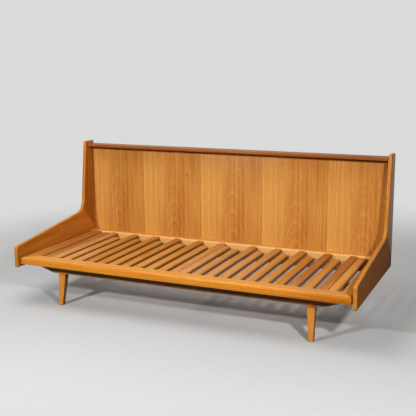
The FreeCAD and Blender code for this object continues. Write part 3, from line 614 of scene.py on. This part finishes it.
def screw_places(node):
    """The head's top, the way from tip to head, and the length of each screw in a CAD node."""
    merged_copy(node, "screw_bunch")
    bpy.ops.mesh.separate(type="LOOSE")
    bpy.ops.object.mode_set(mode="OBJECT")
    places = []
    for single in list(bpy.context.selected_objects):
        points = [vertex.co.copy() for vertex in single.data.vertices]
        low = Vector(min(point[axis] for point in points) for axis in range(3))
        high = Vector(max(point[axis] for point in points) for axis in range(3))
        long = max(range(3), key=lambda axis: high[axis] - low[axis])
        middle = (low + high) / 2
        wide = max(points, key=lambda point: sum(
            (point[axis] - middle[axis]) ** 2 for axis in range(3) if axis != long))
        way = Vector((0, 0, 0))
        way[long] = 1 if wide[long] > middle[long] else -1
        top = middle.copy()
        top[long] = high[long] if way[long] > 0 else low[long]
        places.append((top, way, high[long] - low[long]))
        bpy.data.objects.remove(single)
    return sorted(places, key=lambda row: tuple(row[0]))


def drive_screws(node, finish):
    """Slotted screws in the places of a CAD node's plain ones, joined into one piece."""
    places = screw_places(node)
    model = slotted_screw(places[0][2])
    bunch = []
    for top, way, _ in places:
        mesh = model.data.copy()
        turned = Matrix.Rotation(chance.uniform(0, math.pi), 4, "Z")
        mesh.transform(Matrix.Translation(top) @ UP.rotation_difference(way).to_matrix().to_4x4() @ turned)
        screw = bpy.data.objects.new(node + "_slotted", mesh)
        bpy.context.scene.collection.objects.link(screw)
        bunch.append(screw)
    bpy.data.objects.remove(model)
    bpy.ops.object.select_all(action="DESELECT")
    for screw in bunch:
        screw.select_set(True)
    bpy.context.view_layer.objects.active = bunch[0]
    bpy.ops.object.join()
    piece = bpy.context.object
    piece.data.materials.append(finish)
    stand_for(piece, node)


for side, way in (("left", -1), ("right", 1)):
    # Painted shade: the right arm and right side rail get a little more tone than the left ones
    lay_board(side + "_upright", UP, (way * 0.070, 0.02, 0), SYRUP, ACROSS, ring_width=0.006, tone=0.84,
              lip=-0.55, outside=way * ACROSS, gloss=0.12)
    lay_board(side + "_arm", ARM_GRAIN, (way * 0.065, 0, 0.03), SYRUP, ACROSS, ring_width=0.006,
              tone=0.45 + way * 0.03, lip=-0.36, outside=way * ACROSS, gloss=0.22, dull=0.55)
    lay_board(side + "_side_rail", DEEP, (way * 0.03, 0, -0.09), HONEY, UP, tone=0.80 + way * 0.06)
    # Painted shade on the legs' sides
    lay_board(side + "_front_leg", UP, (0.05, 0.06, 0), CORN, DEEP, arris=LEG_ARRIS, foot=True,
              tone=0.10, flank=0.76)
    lay_board(side + "_rear_leg", UP, (-0.04, 0.06, 0), AMBER, DEEP, arris=LEG_ARRIS, foot=True, flank=0.25)
    lay_board(side + "_runner", DEEP, (0.05, 0, 0.03), BEECH, UP, figure=0.25)

# The front rail: painted shade on its rounded edge and towards its right end, its top lighter with bare
# worn wood and painted light
lay_board("front_rail", ACROSS, (0, 0.05, -0.09), GOLD, UP, tone=0.23, wear=0.0, edge=0.30, crest=0.62,
          far_end=0.65, gloss=0.12)
lay_board("top_ledge", ACROSS, (0, 0.03, -0.10), RUSSET, UP, tone=0.85, wear=0.05, gloss=0.14)
# The rear rail: its top and front lighter with painted light
lay_board("rear_rail", ACROSS, (0, 0.02, -0.06), PALE, UP, crest=0.5, brow=1.0)
for node in ("front_leg_rail", "rear_leg_rail"):
    lay_board(node, ACROSS, (0, 0.09, 0.02), BEECH, DEEP, figure=0.3)
for node in ("fixed_slat_bar", "pull_out_bar"):
    lay_board(node, ACROSS, (0, 0.08, 0.05), BEECH, UP, figure=0.3)

# Slats from left to right, each from its own place in its own log, with painted shade on their sides
SLAT_ASIDE = 0.09
SLAT_HEART = (0.03, 0.09)
SLAT_RINGS = (0.003, 0.006)
SLAT_DARK = (0.12, 0.32)
SLAT_SCUFF = (0.0, 0.35)
FIXED_TONES = (ROSE, HONEY, AMBER, AMBER, HONEY, ROSE, ROSE, ROSE, HONEY, RUSSET, RUSSET)
PULL_OUT_TONES = (RUSSET, HONEY, AMBER, AMBER, HONEY, HONEY, ROSE, ROSE, ROSE, HONEY, AMBER, AMBER, HONEY)
for comb, comb_tones in (("fixed", FIXED_TONES), ("pull_out", PULL_OUT_TONES)):
    for number, tones in enumerate(comb_tones, 1):
        heart = (chance.uniform(-SLAT_ASIDE, SLAT_ASIDE), chance.uniform(-1, 1),
                 chance.choice((-1, 1)) * chance.uniform(*SLAT_HEART))
        lay_board(f"{comb}_slat_{number:02d}", DEEP, heart, tones, UP,
                  ring_width=chance.uniform(*SLAT_RINGS), tone=chance.uniform(*SLAT_DARK),
                  scuff=chance.uniform(*SLAT_SCUFF), flank=0.70)

back = softened("back_panel", ARRIS)
back.data.materials.append(leaf_veneer("back_leaves"))

zinc = old_zinc("old_zinc")
for node, slot in SLOT_OF.items():
    if slot == "steel":
        drive_screws(node, zinc)
for node in ("corner_dowels", "ledge_dowels", "mitre_dowels", "rear_rail_dowels",
             "front_leg_pins", "rear_leg_pins"):
    frame["nodes"][node].material_slots[0].material = board_wood(
        node + "_wood", middle_of(node), DEEP, Vector((0.03, 0, 0.03)), BEECH, UP, figure=0.2)


# Stage

# The floor: its colours to the eye and to the light, and how it fades into the backdrop
BACKDROP = (0.70, 0.71, 0.70)
FLOOR_RADIUS = 30
FLOOR_SEEN = (0.62, 0.62, 0.61)
FLOOR_BOUNCE = (0.02, 0.02, 0.02)
FADE_PLACE = (0, -0.25, 0)
FADE_SCALE = (0.45, 0.45, 1)
FADE = (0.55, 1.35)

# The room: the way to its pale side, and its light on the object and in reflections
ROOM_WAY = (-0.5, 1.0, 0.0)
ROOM_TURN = (-0.15, 0.35)
ROOM_DIM = (0.03, 0.03, 0.03)
ROOM_PALE = (0.20, 0.20, 0.20)
MIRRORED_DIM = (0.06, 0.06, 0.06)
MIRRORED_PALE = (0.66, 0.67, 0.66)

# The camera: place in metres, yaw, pitch and roll in degrees, lens and sensor in millimetres
CAMERA_PLACE = (1.711, -3.747, 1.380)
CAMERA_TURN = (24.041, 11.298, -0.412)
CAMERA_LENS = 65.44
CAMERA_SENSOR = 36


def pale_floor():
    """A wide floor: pale to the eye and in reflections, darker to the light that it throws back up."""
    bpy.ops.object.select_all(action="DESELECT")
    bpy.ops.mesh.primitive_circle_add(vertices=96, radius=FLOOR_RADIUS, fill_type="NGON",
                                      location=(0, 0, 0))
    floor = bpy.context.object
    floor.name = "floor"
    material = bpy.data.materials.new("pale_floor")
    material.use_nodes = True
    tree = material.node_tree
    tree.nodes.clear()
    seen = step(tree, "ShaderNodeLightPath").outputs
    shown = sums(tree, "ADD", sums(tree, "ADD", seen["Is Camera Ray"], seen["Is Glossy Ray"]),
                 seen["Is Transmission Ray"], clamp=True)
    matt = step(tree, "ShaderNodeBsdfDiffuse", {"Color": mixed(tree, shown, FLOOR_BOUNCE, FLOOR_SEEN)})
    far = step(tree, "ShaderNodeEmission", {"Color": (*BACKDROP, 1), "Strength": 1.0})
    place = step(tree, "ShaderNodeMapping", {
        "Vector": object_place(tree), "Location": FADE_PLACE, "Scale": FADE_SCALE}).outputs[0]
    away = eased(tree, vectors(tree, "LENGTH", place)["Value"], FADE)
    blend = step(tree, "ShaderNodeMixShader", {0: sums(tree, "MULTIPLY", away, shown)})
    tree.links.new(matt.outputs[0], blend.inputs[1])
    tree.links.new(far.outputs[0], blend.inputs[2])
    out = step(tree, "ShaderNodeOutputMaterial")
    tree.links.new(blend.outputs[0], out.inputs[0])
    floor.data.materials.append(material)


def studio_world():
    """A pale room behind the sofa bed and to its left, and a dimmer one in front of it."""
    world = bpy.data.worlds.new("studio")
    bpy.context.scene.world = world
    world.use_nodes = True
    tree = world.node_tree
    tree.nodes.clear()
    seen = step(tree, "ShaderNodeLightPath").outputs
    look = step(tree, "ShaderNodeTexCoord").outputs["Generated"]
    toward = vectors(tree, "DOT_PRODUCT", look, ROOM_WAY)["Value"]
    start, end = ROOM_TURN
    behind = step(tree, "ShaderNodeMapRange", {0: toward, 1: start, 2: end}).outputs[0]
    room = mixed(tree, behind, ROOM_DIM, ROOM_PALE)
    mirrored = mixed(tree, behind, MIRRORED_DIM, MIRRORED_PALE)
    shown = sums(tree, "ADD", seen["Is Glossy Ray"], seen["Is Transmission Ray"], clamp=True)
    light = mixed(tree, shown, room, mirrored)
    light = mixed(tree, seen["Is Camera Ray"], light, BACKDROP)
    background = step(tree, "ShaderNodeBackground", {"Color": light, "Strength": 1.0})
    out = step(tree, "ShaderNodeOutputWorld")
    tree.links.new(background.outputs[0], out.inputs[0])


def soft_lamp(name, place, aim, size, watts, mirrored=True):
    """An oval lamp that looks at a point, left out of reflections where it isn't mirrored."""
    lamp = bpy.data.lights.new(name, "AREA")
    lamp.shape = "ELLIPSE"
    lamp.size, lamp.size_y = size
    lamp.energy = watts
    stand = bpy.data.objects.new(name, lamp)
    bpy.context.scene.collection.objects.link(stand)
    stand.location = place
    stand.rotation_euler = (Vector(aim) - Vector(place)).to_track_quat("-Z", "Y").to_euler()
    stand.visible_glossy = mirrored


def photo_camera():
    """The camera at the photograph's viewpoint."""
    yaw, pitch, roll = (math.radians(angle) for angle in CAMERA_TURN)
    ahead = Vector((-math.sin(yaw) * math.cos(pitch), math.cos(yaw) * math.cos(pitch), -math.sin(pitch)))
    level = Vector((math.cos(yaw), math.sin(yaw), 0))
    upward = level.cross(ahead)
    right = level * math.cos(roll) + upward * math.sin(roll)
    top = upward * math.cos(roll) - level * math.sin(roll)
    lens = bpy.data.cameras.new("photo_camera")
    lens.lens = CAMERA_LENS
    lens.sensor_width = CAMERA_SENSOR
    stand = bpy.data.objects.new("photo_camera", lens)
    bpy.context.scene.collection.objects.link(stand)
    turned = Matrix((right, top, -ahead)).transposed().to_4x4()
    stand.matrix_world = Matrix.Translation(CAMERA_PLACE) @ turned
    bpy.context.scene.camera = stand


pale_floor()
studio_world()
soft_lamp("right_lamp", place=(2.32, -2.4, 1.95), aim=(0.3, 0.3, 0.5), size=(0.20, 0.20), watts=70)
soft_lamp("left_lamp", place=(-1.30, -3.2, 1.95), aim=(0, 0.3, 0.45), size=(0.20, 0.20), watts=78)
soft_lamp("overhead_lamp", place=(-0.6, -0.6, 2.8), aim=(-0.2, -0.3, 0.27), size=(2.4, 1.4), watts=31)
soft_lamp("rear_lamp", place=(-0.6, 3.4, 1.9), aim=(-0.2, 0.45, 0.45), size=(2.0, 1.0), watts=46,
          mirrored=False)
photo_camera()
bpy.context.scene.view_settings.view_transform = "Standard"
